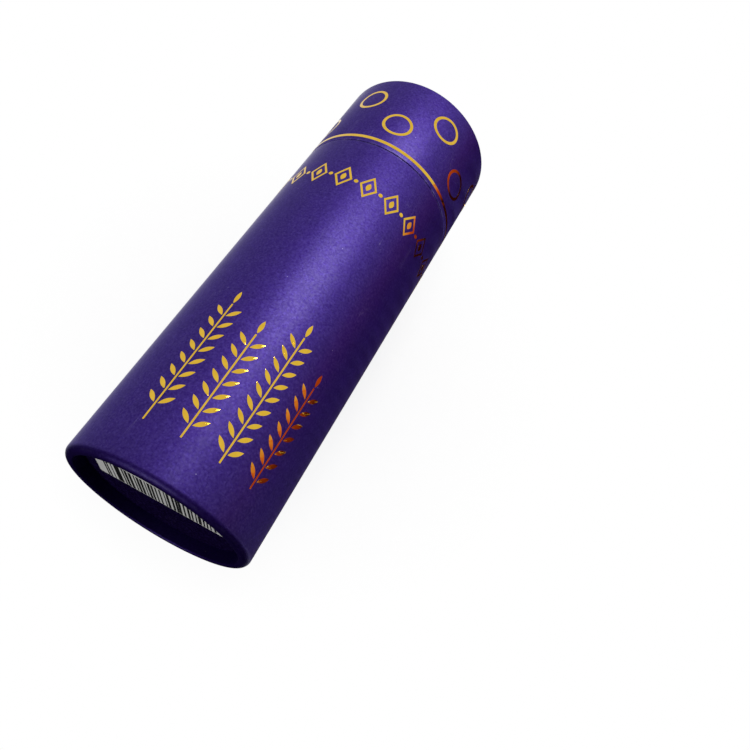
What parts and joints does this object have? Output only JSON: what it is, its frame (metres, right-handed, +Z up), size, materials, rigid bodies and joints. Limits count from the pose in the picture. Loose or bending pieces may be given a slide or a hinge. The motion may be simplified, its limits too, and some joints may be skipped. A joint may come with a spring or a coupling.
{
  "type": "cylindrical gift tube box",
  "caption": "Cylindrical paper gift box with a rolled bottom rim, an inner neck tube and a flush lift-off lid.",
  "frame": {"origin": "centre of the bottom rim, on the table the box stands on", "axes": "+Z up along the tube's axis towards the lid, -Y towards the front of the printed panel"},
  "size_m": [0.051, 0.051, 0.15],
  "materials": {
    "pearl_paper": "satin",
    "board": "matte",
    "white_paper": "matte",
    "label_paper": "satin"
  },
  "bodies": {
    "base": {"base_tube": "board", "base_wrap": "pearl_paper", "base_facing": "pearl_paper", "base_disc": "board", "base_floor": "white_paper", "bottom_label": "label_paper", "neck_tube": "board", "neck_cover": "white_paper", "neck_lining": "white_paper"},
    "lid": {"lid_tube": "board", "lid_disc": "board", "lid_wrap": "pearl_paper", "lid_facing": "pearl_paper", "lid_ceiling": "white_paper", "lid_lining": "white_paper"}
  },
  "joints": [
    {"name": "lid_lift", "type": "slide", "parent": "base", "child": "lid", "axis": [0, 0, 1], "range_m": [0, 0.036]}
  ]
}
